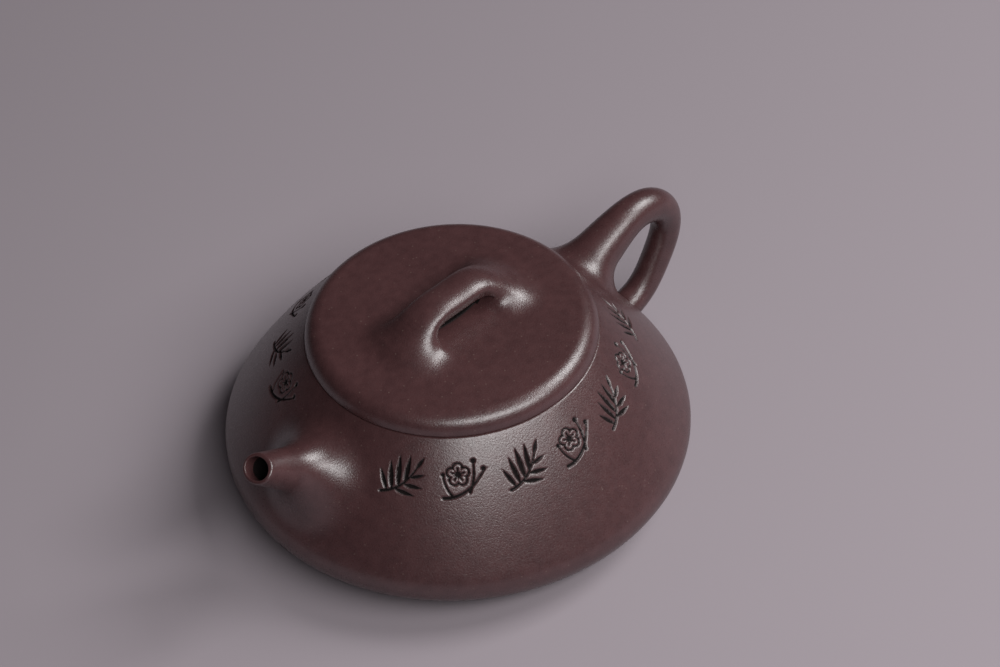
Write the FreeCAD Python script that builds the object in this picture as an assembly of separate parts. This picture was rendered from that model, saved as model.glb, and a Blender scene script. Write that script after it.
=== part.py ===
import FreeCAD, Part
import math
import os

# Flat clay teapot with a loose lid, in millimetres.
# It is built round the Z axis, spout towards -X and handle towards +X, and is
# then moved along X until the middle of its outline stands over the origin.

V = FreeCAD.Vector
UP = V(0, 0, 1)
ACROSS = V(0, 1, 0)

# Body
BELLY_R = 58.0          # widest radius
BELLY_ROUND = 6.2       # small round of the belly
BASE_ROUND = 14.0       # larger round from the belly down to the flat base
BASE_TURN = 45.0        # where the two rounds meet, degrees below level
SHOULDER_TURN = 32.0    # where the shoulder leaves the belly, degrees above level
MOUTH_R = 35.9          # outer edge of the mouth
MOUTH_RISE = 30.35      # mouth above the widest radius
WALL = 3.0
BASE_THICK = 3.2

# Feet
FOOT_H = 3.0
FOOT_FLAT_R = 2.4
FOOT_EDGE = 0.8         # rounding of the foot's lower edge
FOOT_FLARE = 2.2        # rounding where the foot meets the base
FOOT_CIRCLE_R = 36.0
FOOT_ANGLES = {"foot_front": 180.0, "foot_back_left": -60.0, "foot_back_right": 60.0}

# Mouth ring, which seats the lid
RING_IN_R = 27.5
RING_H = 3.4

# Lid
SEAT_GAP = 0.15         # lid above its seat
LID_R = 35.8            # widest radius of the lid
LID_EDGE = 4.6          # round of the lid's edge
LID_EDGE_RISE = 0.4     # middle of that round above the mouth
DOME_TURN = 2.3         # slope of the top where it meets the edge, degrees
RECESS_DEPTH = 1.5      # hollow under the lid, inside the flange
FLANGE_R = 27.0
FLANGE_THICK = 2.7
FLANGE_H = 7.5
FLANGE_DRAFT = 0.4      # how much narrower the flange is at its lower end
VENT_R = 1.1

# Knob, a bridge. Rows from its middle to one end: along X, height over the
# lid's middle, half width, half thickness
KNOB_ROWS = [
    (0.0, 6.2, 4.85, 2.35),
    (5.0, 6.1, 4.9, 2.4),
    (8.6, 5.1, 5.4, 2.9),
    (11.4, 2.7, 6.4, 3.5),
    (13.4, -0.5, 7.7, 4.6),
    (15.0, -3.6, 9.0, 5.8),
]

# Spout
SPOUT_REACH = 63.0      # middle of the outlet from the pot's axis
SPOUT_DROP = 0.1        # middle of the outlet below the mouth
SPOUT_RISE = 38.0       # slope of the spout, degrees
SPOUT_TIP_R = 4.1
SPOUT_LIP = 0.5         # rounding of the outlet's edge
SPOUT_NECK_R = 4.7
SPOUT_NECK = 10.5       # length before the root flares
SPOUT_FLARE = 11.0      # radius of the flare
SPOUT_FLARE_TURN = 62.0
SPOUT_SKIRT_R = 19.0    # how wide the flare would be inside the body
BORE_R = 2.9
BORE_LENGTH = 12.0      # straight bore behind the outlet
BORE_FLARE = 20.0       # half angle of the wide part behind it, degrees
PORT_R = 6.3            # hole in the wall behind the spout
PORT_DEPTH = 34.0       # reach of that hole, measured from the outlet

# Strainer in that hole
STRAINER_DEPTH = 23.5   # inner face of the strainer, measured from the outlet
STRAINER_THICK = 2.0
STRAINER_HOLE_R = 1.0
STRAINER_RING_R = 3.7
STRAINER_HOLES = 6

# Handle. Rows along its middle line: distance from the pot's axis, height over
# the mouth, half thickness
HANDLE_ROWS = [
    (41.4, -13.9, 10.2),
    (45.5, -10.5, 8.3),
    (49.9, -7.5, 6.1),
    (56.3, -4.6, 5.1),
    (62.9, -3.0, 4.5),
    (69.3, -4.4, 4.4),
    (73.9, -9.1, 4.1),
    (74.8, -15.1, 3.8),
    (72.9, -20.6, 3.75),
    (70.2, -25.3, 3.7),
    (66.4, -30.1, 3.7),
    (63.2, -32.2, 3.9),
    (60.0, -33.2, 4.2),
    (55.0, -33.6, 4.5),
    (50.0, -33.4, 4.5),
]
HANDLE_OVAL = 1.04      # width of the handle over its thickness


def on_circle(middle, radius, degrees):
    turn = math.radians(degrees)
    return middle + V(math.cos(turn), 0, math.sin(turn)) * radius


def arc(middle, radius, start, end):
    points = [on_circle(middle, radius, a) for a in (start, (start + end) / 2, end)]
    return Part.Arc(*points).toShape()


def turned(*items):
    """Solid of revolution about Z. Items are arcs and corner points in order."""
    runs = []
    for item in items:
        if isinstance(item, Part.Edge):
            runs.append((item.valueAt(item.FirstParameter), item, item.valueAt(item.LastParameter)))
        else:
            runs.append((item, None, item))
    edges = []
    for here, after in zip(runs, runs[1:] + runs[:1]):
        if here[1]:
            edges.append(here[1])
        if here[2].distanceToPoint(after[0]) > 1e-7:
            edges.append(Part.LineSegment(here[2], after[0]).toShape())
    return Part.Face(Part.Wire(edges)).revolve(V(0, 0, 0), UP, 360)


def swept(rows):
    """Loft of ovals square to a smooth line in the XZ plane."""
    line = Part.BSplineCurve()
    line.interpolate([V(x, 0, z) for x, z, width, thick in rows])
    rings = []
    for x, z, width, thick in rows:
        middle = V(x, 0, z)
        along = line.tangent(line.parameter(middle))[0]
        out = along.cross(ACROSS).normalize()
        oval = Part.Ellipse(middle + ACROSS * width, middle + out * thick, middle)
        rings.append(Part.Wire([oval.toShape()]))
    return Part.makeLoft(rings, True, False)


# Middles of the rounds in the body's outline
step = BASE_ROUND - BELLY_ROUND
base_z = FOOT_H
base_r = BELLY_R - BELLY_ROUND - step * math.cos(math.radians(BASE_TURN))
belly_z = base_z + BASE_ROUND - step * math.sin(math.radians(BASE_TURN))
mouth_z = belly_z + MOUTH_RISE
base_mid = V(base_r, 0, base_z + BASE_ROUND)
belly_mid = V(BELLY_R - BELLY_ROUND, 0, belly_z)
shoulder_foot = on_circle(belly_mid, BELLY_ROUND, SHOULDER_TURN)
outward = on_circle(V(0, 0, 0), 1, SHOULDER_TURN)
chord = V(MOUTH_R, 0, mouth_z) - shoulder_foot
shoulder_r = -chord.dot(chord) / (2 * chord.dot(outward))
shoulder_mid = shoulder_foot - outward * shoulder_r


def shoulder_angle(z, inset):
    return math.degrees(math.asin((z - shoulder_mid.z) / (shoulder_r - inset)))


# Body: the whole form, the wall, the base and the ring in the mouth
core = turned(
    V(0, 0, base_z),
    arc(base_mid, BASE_ROUND, -90, -BASE_TURN),
    arc(belly_mid, BELLY_ROUND, -BASE_TURN, SHOULDER_TURN),
    arc(shoulder_mid, shoulder_r, SHOULDER_TURN, shoulder_angle(mouth_z, 0)),
    V(0, 0, mouth_z),
)
inner_top = shoulder_angle(mouth_z, WALL)
base_top = base_z + BASE_THICK
floor_angle = math.degrees(math.asin((base_top - base_mid.z) / (BASE_ROUND - WALL)))
body_wall = turned(
    V(base_r, 0, base_top),
    V(base_r, 0, base_z),
    arc(base_mid, BASE_ROUND, -90, -BASE_TURN),
    arc(belly_mid, BELLY_ROUND, -BASE_TURN, SHOULDER_TURN),
    arc(shoulder_mid, shoulder_r, SHOULDER_TURN, shoulder_angle(mouth_z, 0)),
    arc(shoulder_mid, shoulder_r - WALL, inner_top, SHOULDER_TURN),
    arc(belly_mid, BELLY_ROUND - WALL, SHOULDER_TURN, -BASE_TURN),
    arc(base_mid, BASE_ROUND - WALL, -BASE_TURN, floor_angle),
)
base_disc = Part.makeCylinder(base_r, BASE_THICK, V(0, 0, base_z))
ring_low = mouth_z - RING_H
mouth_ring = turned(
    V(RING_IN_R, 0, ring_low),
    arc(shoulder_mid, shoulder_r - WALL, shoulder_angle(ring_low, WALL), inner_top),
    V(RING_IN_R, 0, mouth_z),
)

# Feet
foot_out = V(FOOT_FLAT_R, 0, FOOT_EDGE)
foot_root = V(FOOT_FLAT_R + FOOT_EDGE + FOOT_FLARE, 0, FOOT_H - FOOT_FLARE)
foot = turned(
    V(0, 0, 0),
    arc(foot_out, FOOT_EDGE, -90, 0),
    arc(foot_root, FOOT_FLARE, 180, 90),
    V(0, 0, FOOT_H),
)

# Spout, drawn along Z with the outlet at the origin and then laid along its slope
flare_mid = V(SPOUT_NECK_R + SPOUT_FLARE, 0, -SPOUT_NECK)
flare_end = on_circle(flare_mid, SPOUT_FLARE, 180 + SPOUT_FLARE_TURN)
skirt_z = flare_end.z - (SPOUT_SKIRT_R - flare_end.x) / math.tan(math.radians(SPOUT_FLARE_TURN))
bore_end_r = BORE_R + (-skirt_z - BORE_LENGTH) * math.tan(math.radians(BORE_FLARE))
spout = turned(
    V(BORE_R, 0, 0),
    V(BORE_R, 0, -BORE_LENGTH),
    V(bore_end_r, 0, skirt_z),
    V(SPOUT_SKIRT_R, 0, skirt_z),
    arc(flare_mid, SPOUT_FLARE, 180 + SPOUT_FLARE_TURN, 180),
    arc(V(SPOUT_TIP_R - SPOUT_LIP, 0, -SPOUT_LIP), SPOUT_LIP, 0, 90),
)
port = Part.makeCylinder(PORT_R, PORT_DEPTH, V(0, 0, -PORT_DEPTH))
strainer = Part.makeCylinder(PORT_R, STRAINER_THICK, V(0, 0, -STRAINER_DEPTH))
drill = Part.makeCylinder(STRAINER_HOLE_R, PORT_DEPTH, V(0, 0, -PORT_DEPTH))
strainer = strainer.cut(drill)
for number in range(STRAINER_HOLES):
    turn = math.radians(360 * number / STRAINER_HOLES)
    hole = drill.copy()
    hole.translate(V(math.cos(turn), math.sin(turn), 0) * STRAINER_RING_R)
    strainer = strainer.cut(hole)
outlet = V(-SPOUT_REACH, 0, mouth_z - SPOUT_DROP)
slope = math.radians(SPOUT_RISE)
lay = FreeCAD.Placement(outlet, FreeCAD.Rotation(UP, V(-math.cos(slope), 0, math.sin(slope))))
for shape in (spout, port, strainer):
    shape.Placement = lay
spout = spout.cut(core)
body_wall = body_wall.cut(port)

# Handle
handle = swept([(x, mouth_z + z, thick * HANDLE_OVAL, thick) for x, z, thick in HANDLE_ROWS])
handle = handle.cut(core)

# Lid: plate, flange below it and bridge on top
under_z = mouth_z + SEAT_GAP
edge_mid = V(LID_R - LID_EDGE, 0, mouth_z + LID_EDGE_RISE)
edge_low = math.degrees(math.asin((under_z - edge_mid.z) / LID_EDGE))
dome_r = edge_mid.x / math.sin(math.radians(DOME_TURN)) + LID_EDGE
dome_mid = V(0, 0, edge_mid.z - (dome_r - LID_EDGE) * math.cos(math.radians(DOME_TURN)))
lid_top = dome_mid.z + dome_r
recess_r = FLANGE_R - FLANGE_THICK
lid_plate = turned(
    V(0, 0, under_z + RECESS_DEPTH),
    V(recess_r - RECESS_DEPTH, 0, under_z + RECESS_DEPTH),
    V(recess_r, 0, under_z),
    arc(edge_mid, LID_EDGE, edge_low, 90 - DOME_TURN),
    arc(dome_mid, dome_r, 90 - DOME_TURN, 90),
)
lid_flange = turned(
    V(recess_r, 0, under_z),
    V(recess_r, 0, under_z - FLANGE_H),
    V(FLANGE_R - FLANGE_DRAFT, 0, under_z - FLANGE_H),
    V(FLANGE_R, 0, under_z),
)
mirrored = [(-x, z, width, thick) for x, z, width, thick in KNOB_ROWS[:0:-1]]
lid_knob = swept([(x, lid_top + z, width, thick) for x, z, width, thick in mirrored + KNOB_ROWS])
lid_core = turned(
    V(0, 0, 0),
    V(LID_R, 0, 0),
    arc(edge_mid, LID_EDGE, 0, 90 - DOME_TURN),
    arc(dome_mid, dome_r, 90 - DOME_TURN, 90),
)
lid_knob = lid_knob.cut(lid_core)
lid_plate = lid_plate.cut(Part.makeCylinder(VENT_R, lid_top, V(0, 0, 0)))

nodes = {
    "body_wall": body_wall,
    "base_disc": base_disc,
    "mouth_ring": mouth_ring,
    "spout": spout,
    "spout_strainer": strainer,
    "handle": handle,
    "lid_plate": lid_plate,
    "lid_flange": lid_flange,
    "lid_knob": lid_knob,
}
for name, degrees in FOOT_ANGLES.items():
    turn = math.radians(degrees)
    nodes[name] = foot.copy()
    nodes[name].translate(V(math.cos(turn), math.sin(turn), 0) * FOOT_CIRCLE_R)

# Stand the middle of the whole outline over the origin and write the pieces
box = Part.makeCompound(list(nodes.values())).optimalBoundingBox(True)
shift = V(-(box.XMin + box.XMax) / 2, 0, 0)
os.makedirs("parts", exist_ok=True)
for name, shape in nodes.items():
    solids = shape.Solids
    if len(solids) != 1 or not shape.isValid():
        raise ValueError("%s is not one sound solid" % name)
    solid = solids[0]
    solid.translate(shift)
    solid.exportStep("parts/%s.step" % name)
    print("%-16s %8.1f mm3" % (name, solid.Volume))
print("shift %.3f, mouth at %.3f, lid top at %.3f" % (shift.x, mouth_z, lid_top))
print("size %.2f x %.2f x %.2f" % (box.XLength, box.YLength, box.ZLength))
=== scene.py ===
import math

import bmesh
import bpy
import numpy as np
from bpy.props import FloatProperty, FloatVectorProperty, IntProperty, PointerProperty
from mathutils import Matrix, Vector


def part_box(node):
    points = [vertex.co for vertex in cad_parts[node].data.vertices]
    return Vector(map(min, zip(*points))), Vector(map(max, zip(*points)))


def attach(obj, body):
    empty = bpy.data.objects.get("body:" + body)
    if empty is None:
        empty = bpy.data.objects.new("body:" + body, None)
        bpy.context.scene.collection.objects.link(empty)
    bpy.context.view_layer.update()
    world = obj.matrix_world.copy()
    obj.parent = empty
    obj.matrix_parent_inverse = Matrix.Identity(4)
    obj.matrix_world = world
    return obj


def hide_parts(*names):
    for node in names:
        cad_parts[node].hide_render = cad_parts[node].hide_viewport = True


bl_info = {
    "name": "Clay Teapot",
    "version": (1, 0, 0),
    "blender": (4, 5, 0),
    "location": "View3D > Sidebar > Teapot",
    "description": "Dresses the frame of a low clay teapot in burnished clay and sets a plain stage",
    "category": "Add Mesh",
}

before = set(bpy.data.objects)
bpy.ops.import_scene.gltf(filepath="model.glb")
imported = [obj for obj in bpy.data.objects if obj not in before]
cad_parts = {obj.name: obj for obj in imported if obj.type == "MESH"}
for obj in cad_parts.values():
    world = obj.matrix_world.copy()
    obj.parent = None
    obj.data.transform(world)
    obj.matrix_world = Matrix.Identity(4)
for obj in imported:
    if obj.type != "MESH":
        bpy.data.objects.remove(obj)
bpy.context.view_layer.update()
MM = 0.001
ACROSS = np.array([0.0, 1.0, 0.0])

# Places read from the frame
WALL_LOW, WALL_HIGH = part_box("body_wall")
RING_LOW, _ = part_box("mouth_ring")
LID_LOW, LID_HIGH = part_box("lid_plate")
FLANGE_LOW, FLANGE_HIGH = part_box("lid_flange")
BASE_LOW, BASE_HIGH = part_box("base_disc")
FOOT_NODES = ("foot_front", "foot_back_left", "foot_back_right")
AXIS = np.array([(WALL_LOW.x + WALL_HIGH.x) / 2, 0.0, 0.0])
BELLY_R = (WALL_HIGH.y - WALL_LOW.y) / 2
BASE_Z = WALL_LOW.z
MOUTH_Z = WALL_HIGH.z
LID_R = (LID_HIGH.y - LID_LOW.y) / 2
LID_UNDER = LID_LOW.z
FLANGE_R = (FLANGE_HIGH.y - FLANGE_LOW.y) / 2

# Handle, from its upper root to its lower one, in millimetres: distance from the
# pot's axis, height over the mouth, half thickness
HANDLE_ROWS = [
    (51.3, -6.7, 5.75),
    (56.3, -4.6, 5.1),
    (62.9, -3.0, 4.5),
    (69.3, -4.4, 4.4),
    (73.9, -9.1, 4.1),
    (74.8, -15.1, 3.8),
    (72.9, -20.6, 3.75),
    (70.2, -25.3, 3.7),
    (66.4, -30.1, 3.7),
    (63.2, -32.2, 3.8),
    (61.4, -32.9, 3.9),
]

# Half of the knob's middle line, from its middle to one root, in millimetres:
# distance from the pot's axis, height over the lid, half width and half height
KNOB_ROWS = [
    (0.0, 6.2, 4.85, 2.35),
    (5.4, 6.15, 4.9, 2.35),
    (9.2, 4.9, 5.3, 2.7),
    (12.2, 2.3, 6.0, 3.3),
    (14.2, -0.8, 7.0, 4.2),
]

# Half of the opening under the knob, in millimetres: distance from the pot's axis,
# its floor and its roof over the lid
TUNNEL_ROWS = [
    (0.0, -0.3, 3.85),
    (6.4, -0.3, 3.8),
    (7.8, 0.6, 3.65),
    (8.8, 1.8, 3.4),
    (9.5, 2.8, 3.05),
]

# Two carved sprigs in millimetres, right along the wall and up the slope. A twig
# is the start, middle and end of a bow with the half width at both ends, a bud is
# a place and a radius, and a leaf is a stalk end, a tip and a half width
BLOSSOM_AT = (-1.2, 0.9)
PETALS = 5
PETAL_OUT = 1.6
PETAL_R = 1.15
PETAL_LINE = 0.2
HEART_R = 0.42
STAMEN_FROM, STAMEN_TO, STAMEN_LINE = 0.8, 1.6, 0.16
BLOSSOM_TWIGS = [
    ((-4.9, -4.6), (0.6, -4.9), (4.9, 1.2), 0.42, 0.18),
    ((1.4, -3.5), (2.9, -0.2), (2.6, 3.2), 0.32, 0.18),
    ((-2.6, -4.3), (-4.4, -2.4), (-4.7, 0.4), 0.28, 0.16),
]
BUDS = [((4.9, 1.8), 0.55), ((2.6, 3.9), 0.62), ((-4.7, 0.9), 0.5)]
LEAF_TWIGS = [((-4.6, -4.7), (0.6, -3.6), (3.4, 2.0), 0.34, 0.16)]
LEAVES = [
    ((-3.1, -4.2), (-5.2, 0.6), 0.5),
    ((-1.9, -3.8), (-3.0, 3.0), 0.55),
    ((-0.4, -3.0), (-0.9, 4.7), 0.6),
    ((1.1, -1.9), (1.6, 4.9), 0.55),
    ((3.3, 1.9), (4.9, 4.8), 0.45),
    ((-1.2, -3.5), (3.9, -4.6), 0.5),
    ((0.9, -2.1), (5.4, -2.6), 0.5),
    ((2.3, -0.3), (5.5, 0.6), 0.42),
]


# Sizes and colours that a user would change

class PotSizes(bpy.types.PropertyGroup):
    belly_round: FloatProperty(
        name="Belly Round", description="Round of the belly", default=6.2 * MM, unit="LENGTH")
    base_round: FloatProperty(
        name="Base Round", description="Round from the belly to the base",
        default=14 * MM, unit="LENGTH")
    base_turn: FloatProperty(
        name="Base Turn", description="Where the two rounds meet, below level",
        default=math.radians(45), subtype="ANGLE")
    shoulder_turn: FloatProperty(
        name="Shoulder Turn", description="Where the shoulder leaves the belly, above level",
        default=math.radians(32), subtype="ANGLE")
    mouth_radius: FloatProperty(
        name="Mouth Radius", description="Outer edge of the mouth", default=35.9 * MM, unit="LENGTH")
    wall: FloatProperty(
        name="Wall", description="Thickness of the wall", default=3 * MM, unit="LENGTH")
    edge: FloatProperty(
        name="Edge", description="Softening of the mouth's edges", default=0.15 * MM, unit="LENGTH")


class LidSizes(bpy.types.PropertyGroup):
    edge_round: FloatProperty(
        name="Edge Round", description="Round of the lid's edge", default=4.6 * MM, unit="LENGTH")
    edge_rise: FloatProperty(
        name="Edge Rise", description="Middle of that round above the mouth",
        default=0.4 * MM, unit="LENGTH")
    dome_turn: FloatProperty(
        name="Dome Turn", description="Slope of the top where it meets the edge",
        default=math.radians(2.3), subtype="ANGLE")
    recess: FloatProperty(
        name="Recess", description="Depth of the hollow under the lid", default=1.5 * MM, unit="LENGTH")
    flange_thick: FloatProperty(
        name="Flange", description="Thickness of the flange", default=2.7 * MM, unit="LENGTH")
    vent: FloatProperty(
        name="Vent", description="Radius of the vent under the knob", default=1.1 * MM, unit="LENGTH")
    knob_blend: FloatVectorProperty(
        name="Knob Blend",
        description="How softly the knob runs into the lid, in its middle and at its roots",
        default=(1.2 * MM, 7.5 * MM), size=2, unit="LENGTH")


class SpoutSizes(bpy.types.PropertyGroup):
    rise: FloatProperty(
        name="Rise", description="Slope of the spout", default=math.radians(38), subtype="ANGLE")
    reach: FloatProperty(
        name="Reach", description="Middle of the outlet from the pot's axis",
        default=63 * MM, unit="LENGTH")
    drop: FloatProperty(
        name="Drop", description="Middle of the outlet below the mouth",
        default=0.1 * MM, unit="LENGTH")
    tip: FloatVectorProperty(
        name="Tip", description="Half width and half height of the outlet's rim",
        default=(4.4 * MM, 3.6 * MM), size=2, unit="LENGTH")
    opening: FloatVectorProperty(
        name="Opening", description="Half width and half height of the outlet",
        default=(3.45 * MM, 2.65 * MM), size=2, unit="LENGTH")
    lean: FloatProperty(
        name="Lean", description="Lean of the rim towards level",
        default=math.radians(15), subtype="ANGLE")
    waist: FloatProperty(
        name="Waist", description="Radius that the neck is drawn in to",
        default=4.45 * MM, unit="LENGTH")
    neck: FloatProperty(
        name="Neck", description="Radius where the root starts to flare",
        default=5.1 * MM, unit="LENGTH")
    neck_length: FloatProperty(
        name="Neck Length", description="Length before the root flares", default=10 * MM, unit="LENGTH")
    lip: FloatVectorProperty(
        name="Lip", description="Round of the outlet's outer and inner edge",
        default=(0.75 * MM, 0.2 * MM), size=2, unit="LENGTH")
    bore: FloatProperty(
        name="Bore", description="Radius of the bore", default=2.9 * MM, unit="LENGTH")
    bore_length: FloatProperty(
        name="Bore Length", description="Straight bore behind the outlet",
        default=12 * MM, unit="LENGTH")
    port: FloatProperty(
        name="Port", description="Radius of the hole in the wall", default=6.3 * MM, unit="LENGTH")
    spread: FloatVectorProperty(
        name="Spread", description="Reach of the root to the sides, up and down",
        default=(18 * MM, 14.5 * MM, 16.5 * MM), unit="LENGTH")


class HandleSizes(bpy.types.PropertyGroup):
    oval: FloatProperty(
        name="Oval", description="Width of the handle over its thickness", default=1.04)
    upper_spread: FloatVectorProperty(
        name="Upper Spread", description="Reach of the upper root to the sides, up and down",
        default=(14 * MM, 10.5 * MM, 13 * MM), unit="LENGTH")
    lower_spread: FloatVectorProperty(
        name="Lower Spread", description="Reach of the lower root to the sides, down and up",
        default=(8.5 * MM, 5.5 * MM, 8 * MM), unit="LENGTH")


class CarvingSizes(bpy.types.PropertyGroup):
    sprigs: IntProperty(
        name="Sprigs", description="Sprigs on each side of the pot", default=7, min=1)
    first: FloatProperty(
        name="First", description="First sprig from the spout",
        default=math.radians(29.5), subtype="ANGLE")
    last: FloatProperty(
        name="Last", description="Last sprig from the spout",
        default=math.radians(149.5), subtype="ANGLE")
    slope: FloatProperty(
        name="Slope", description="Middle of the sprigs below the mouth",
        default=9.6 * MM, unit="LENGTH")
    reach: FloatVectorProperty(
        name="Reach", description="Half width and half height of a sprig",
        default=(5.8 * MM, 5.5 * MM), size=2, unit="LENGTH")
    depth: FloatProperty(
        name="Depth", description="Depth of the cut", default=0.45 * MM, unit="LENGTH")
    fine: FloatProperty(
        name="Fine", description="Mesh step across the carving", default=0.2 * MM, unit="LENGTH")


class ClayColours(bpy.types.PropertyGroup):
    dark: FloatVectorProperty(
        name="Dark", description="Darker tone of the clay",
        subtype="COLOR", default=(0.058, 0.0235, 0.0245))
    light: FloatVectorProperty(
        name="Light", description="Lighter tone of the clay",
        subtype="COLOR", default=(0.078, 0.0325, 0.0335))
    speck: FloatVectorProperty(
        name="Speck", description="Sandy specks in the clay",
        subtype="COLOR", default=(0.17, 0.115, 0.10))
    # Also paints the shade in the slot under the knob and deep in the spout's bore
    cut_and_shade: FloatVectorProperty(
        name="Carved", description="Bottom of the carved lines",
        subtype="COLOR", default=(0.005, 0.004, 0.004))
    # The same dark clay's lighter tone, also where it paints shade
    cut_and_shade_edge: FloatVectorProperty(
        name="Carved Edge", description="Lighter places of the carved lines",
        subtype="COLOR", default=(0.012, 0.008, 0.008))
    raw: FloatVectorProperty(
        name="Raw", description="Inside, which is left rough",
        subtype="COLOR", default=(0.085, 0.040, 0.035))


class StageSettings(bpy.types.PropertyGroup):
    floor: FloatVectorProperty(
        name="Floor", description="Colour of the floor", subtype="COLOR", default=(0.34, 0.295, 0.325))
    azimuth: FloatProperty(
        name="Azimuth", description="Camera round the pot", default=math.radians(-42), subtype="ANGLE")
    elevation: FloatProperty(
        name="Elevation", description="Camera above level",
        default=math.radians(44.45), subtype="ANGLE")
    roll: FloatProperty(
        name="Roll", description="Lean of the camera", default=math.radians(-3.136), subtype="ANGLE")
    distance: FloatProperty(
        name="Distance", description="Camera from the belly's middle", default=0.7977, unit="LENGTH")
    aim: FloatVectorProperty(
        name="Aim", description="Picture's middle to the right of and above the belly's middle",
        default=(10.505 * MM, 21.052 * MM), size=2, unit="LENGTH")
    lens: FloatProperty(name="Lens", description="Focal length", default=115.2, subtype="DISTANCE_CAMERA")


# Lines and outlines

def unit(rows):
    """The same ways, each one long."""
    return rows / np.linalg.norm(rows, axis=-1, keepdims=True)


def eased(share):
    """A share from 0 to 1 that starts and ends gently."""
    return share * share * (3 - 2 * share)


def both_halves(rows):
    """Rows in metres from end to end, out of rows in millimetres from the middle to one end."""
    half = np.array(rows) * MM
    other = half[:0:-1].copy()
    other[:, 0] *= -1
    return np.vstack((other, half))


def bow(middle, radius, start, end, step):
    """Points along a round, about a step apart."""
    count = max(2, math.ceil(abs(end - start) * radius / step))
    turns = np.linspace(start, end, count + 1)
    return middle + radius * np.column_stack((np.cos(turns), np.sin(turns)))


def softened(before, corner, after, count=6):
    """Points that round a corner between two places beside it."""
    t = np.linspace(0, 1, count + 1)[:, None]
    return (1 - t) ** 2 * before + 2 * t * (1 - t) * corner + t ** 2 * after


def stepped_line(places, step=1.2 * MM):
    """Open line through places, divided into steps."""
    runs = []
    for start, end in zip(np.array(places), np.array(places)[1:]):
        count = max(1, round(np.linalg.norm(end - start) / step))
        runs.append(np.linspace(start, end, count, endpoint=False))
    return np.vstack(runs + [np.array(places[-1:])])


def rounded(corners, step=1 * MM):
    """Closed outline from rows of radius, height and edge rounding."""
    places = np.array([row[:2] for row in corners])
    outline = []
    for number, (_, _, edge) in enumerate(corners):
        here = places[number]
        back = places[number - 1] - here
        ahead = places[(number + 1) % len(places)] - here
        if edge:
            outline.append(softened(here + unit(back) * edge, here, here + unit(ahead) * edge))
        else:
            outline.append(here[None])
        run = np.linalg.norm(ahead)
        stops = np.arange(2 * edge + step, run - 2 * step, step)
        outline.append(here + np.outer(stops / run, ahead))
    return np.vstack(outline)


def graded(*stops):
    """Places from the first stop to the last. A stop is its place and the step that follows it."""
    runs = []
    for (start, step), (end, _) in zip(stops, stops[1:]):
        runs.append(np.linspace(start, end, max(1, math.ceil((end - start) / step)), endpoint=False))
    return np.concatenate(runs + [[stops[-1][0]]])


def smooth_rows(rows, count):
    """Rows of numbers through the given ones, on a smooth line, evenly spaced by the first two numbers."""
    rows = np.array(rows)
    gaps = np.linalg.norm(np.diff(rows[:, :2], axis=0), axis=1)
    knots = np.concatenate(([0.0], np.cumsum(gaps)))
    slopes = np.diff(rows, axis=0) / gaps[:, None]
    bend = np.eye(len(rows))
    pull = np.zeros_like(rows)
    for k in range(1, len(rows) - 1):
        bend[k, k - 1:k + 2] = gaps[k - 1], 2 * (gaps[k - 1] + gaps[k]), gaps[k]
        pull[k] = 6 * (slopes[k] - slopes[k - 1])
    second = np.linalg.solve(bend, pull)
    places = np.linspace(0, knots[-1], count)
    k = np.clip(np.searchsorted(knots, places, side="right") - 1, 0, len(gaps) - 1)
    gap = gaps[k][:, None]
    t = (places - knots[k])[:, None]
    linear = slopes[k] - gap * (2 * second[k] + second[k + 1]) / 6
    return rows[k] + t * (linear + t * (second[k] / 2 + t * (second[k + 1] - second[k]) / (6 * gap)))


class WallOutline:
    """Outer outline of the pot in radius and height: a base round, a belly round and a long shoulder."""

    def __init__(self, pot):
        step = pot.base_round - pot.belly_round
        belly_r = BELLY_R - pot.belly_round
        base_z = BASE_Z + pot.base_round
        self.pot = pot
        self.base_mid = np.array([belly_r - step * math.cos(pot.base_turn), base_z])
        self.belly_mid = np.array([belly_r, base_z - step * math.sin(pot.base_turn)])
        outward = np.array([math.cos(pot.shoulder_turn), math.sin(pot.shoulder_turn)])
        foot = self.belly_mid + outward * pot.belly_round
        chord = np.array([pot.mouth_radius, MOUTH_Z]) - foot
        self.shoulder_r = -(chord @ chord) / (2 * chord @ outward)
        self.shoulder_mid = foot - outward * self.shoulder_r

    def shoulder_turn_at(self, height, inset=0.0):
        return math.asin((height - self.shoulder_mid[1]) / (self.shoulder_r - inset))

    def lower_rounds(self, inset, step):
        """Base and belly rounds, from the base up to the foot of the shoulder."""
        pot = self.pot
        base = bow(self.base_mid, pot.base_round - inset, -math.pi / 2, -pot.base_turn, step)
        belly = bow(self.belly_mid, pot.belly_round - inset, -pot.base_turn, pot.shoulder_turn, step)
        return np.vstack((base, belly[1:]))

    def onto(self, points):
        """Nearest points on the outside of the pot, and the outward directions there."""
        spokes = points - AXIS
        spokes[:, 2] = 0.0
        radii = np.linalg.norm(spokes, axis=1)
        places = np.column_stack((radii, points[:, 2]))
        lean = places - self.belly_mid
        turns = np.arctan2(lean[:, 1], lean[:, 0])[:, None]
        shoulder = turns > self.pot.shoulder_turn
        base = turns < -self.pot.base_turn
        middles = np.where(shoulder, self.shoulder_mid, np.where(base, self.base_mid, self.belly_mid))
        lower = np.where(base, self.pot.base_round, self.pot.belly_round)
        rounds = np.where(shoulder, self.shoulder_r, lower)
        outward = unit(places - middles)
        nearest = middles + outward * rounds
        spokes = spokes / radii[:, None]
        normals = spokes * outward[:, :1] + [0, 0, 1] * outward[:, 1:]
        return AXIS + spokes * nearest[:, :1] + [0, 0, 1] * nearest[:, 1:], normals


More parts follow.
